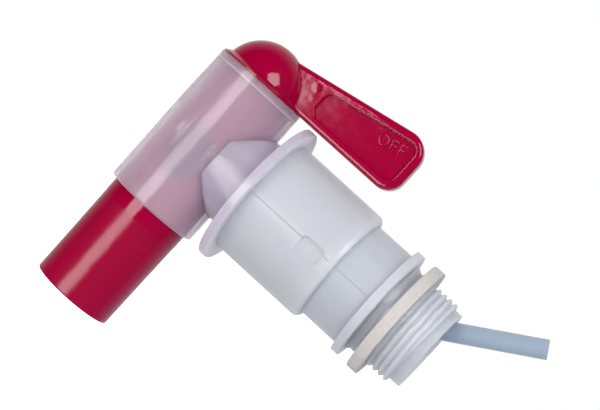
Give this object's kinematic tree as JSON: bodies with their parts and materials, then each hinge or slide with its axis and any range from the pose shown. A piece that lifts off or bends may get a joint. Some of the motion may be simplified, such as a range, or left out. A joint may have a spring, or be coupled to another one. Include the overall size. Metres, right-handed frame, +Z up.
{
  "type": "drain cock",
  "caption": "Vented drain cock: moulded body with flange, collar and threaded spigot, quarter-turn key with lever, dome and spout, washer and bent air tube.",
  "frame": {"origin": "on the spigot's axis, in the plane of the washer's sealing face, where the thread starts to enter the container", "axes": "+X along the spigot out of the thread into the container, +Z up the key's axis towards the dome, lever over the spigot at rest"},
  "size_m": [0.1153, 0.0425, 0.0906],
  "materials": {
    "milky_plastic": "translucent, satin",
    "red_plastic": "gloss",
    "washer_rubber": "matt",
    "tube_plastic": "translucent, gloss"
  },
  "bodies": {
    "tap_body": {"body": "milky_plastic", "washer": "washer_rubber", "air_tube": "tube_plastic"},
    "key": {"key": "red_plastic"}
  },
  "joints": [
    {"name": "key_turn", "type": "hinge", "parent": "tap_body", "child": "key", "pos_m": [-0.0687, 0, 0], "axis": [0, 0, 1], "range_deg": [0, 90]}
  ]
}
